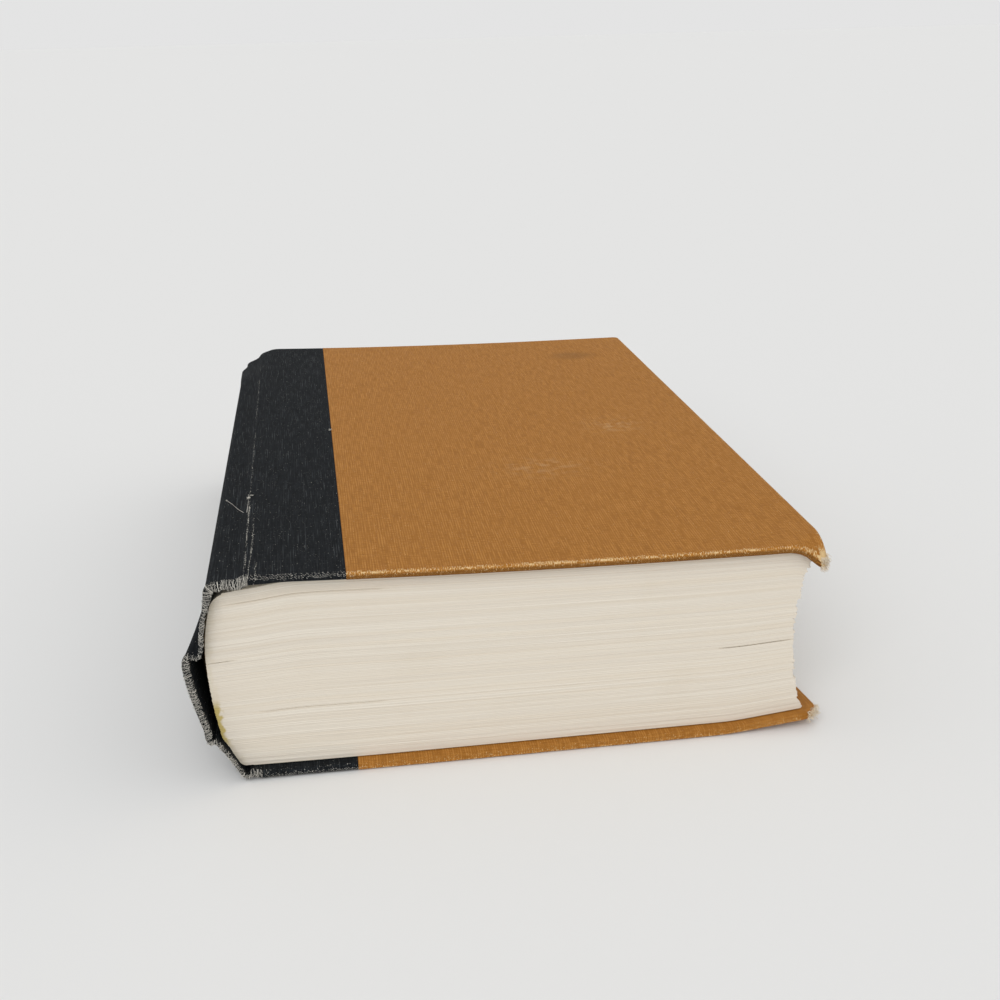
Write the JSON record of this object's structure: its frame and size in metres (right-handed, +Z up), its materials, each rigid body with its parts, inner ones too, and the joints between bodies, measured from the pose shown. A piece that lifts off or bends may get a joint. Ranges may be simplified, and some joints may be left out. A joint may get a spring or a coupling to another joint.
{
  "type": "hardback book",
  "caption": "Closed hardback book lying flat: cloth-covered boards hinged at the spine, dark spine and ochre sides, thick page block, open spine hollow, worn corners.",
  "frame": {"origin": "on the surface the book lies on, under the middle of the closed book", "axes": "+X from the spine to the fore-edge, +Y from the tail to the head, +Z up through the front cover"},
  "size_m": [0.16, 0.235, 0.0545],
  "materials": {
    "pages": "matt, aged uncoated paper",
    "endpaper": "matt paper",
    "lining_paper": "matt paper, darkened by glue",
    "inlay_card": "matt card",
    "binders_board": "matt grey board",
    "mull": "open gauze",
    "dark_cloth": "fine filled book cloth, satin",
    "ochre_cloth": "fine filled book cloth, matt"
  },
  "bodies": {
    "book_block": {"text_block": "pages", "front_flyleaf": "endpaper", "back_flyleaf": "endpaper", "spine_mull": "mull", "spine_lining": "lining_paper", "spine_inlay": "inlay_card", "spine_cloth": "dark_cloth"},
    "front_cover": {"front_board": "binders_board", "front_side_cloth": "ochre_cloth", "front_joint_cloth": "dark_cloth", "front_mull_wing": "mull", "front_pastedown": "endpaper"},
    "back_cover": {"back_board": "binders_board", "back_side_cloth": "ochre_cloth", "back_joint_cloth": "dark_cloth", "back_mull_wing": "mull", "back_pastedown": "endpaper"}
  },
  "joints": [
    {"name": "front_cover_hinge", "type": "hinge", "parent": "book_block", "child": "front_cover", "pos_m": [-0.06934, 0, 0.05338], "axis": [0, -1, 0], "range_deg": [0, 180]},
    {"name": "back_cover_hinge", "type": "hinge", "parent": "book_block", "child": "back_cover", "pos_m": [-0.0669, 0, 0.00177], "axis": [0, 1, 0], "range_deg": [0, 180]}
  ]
}
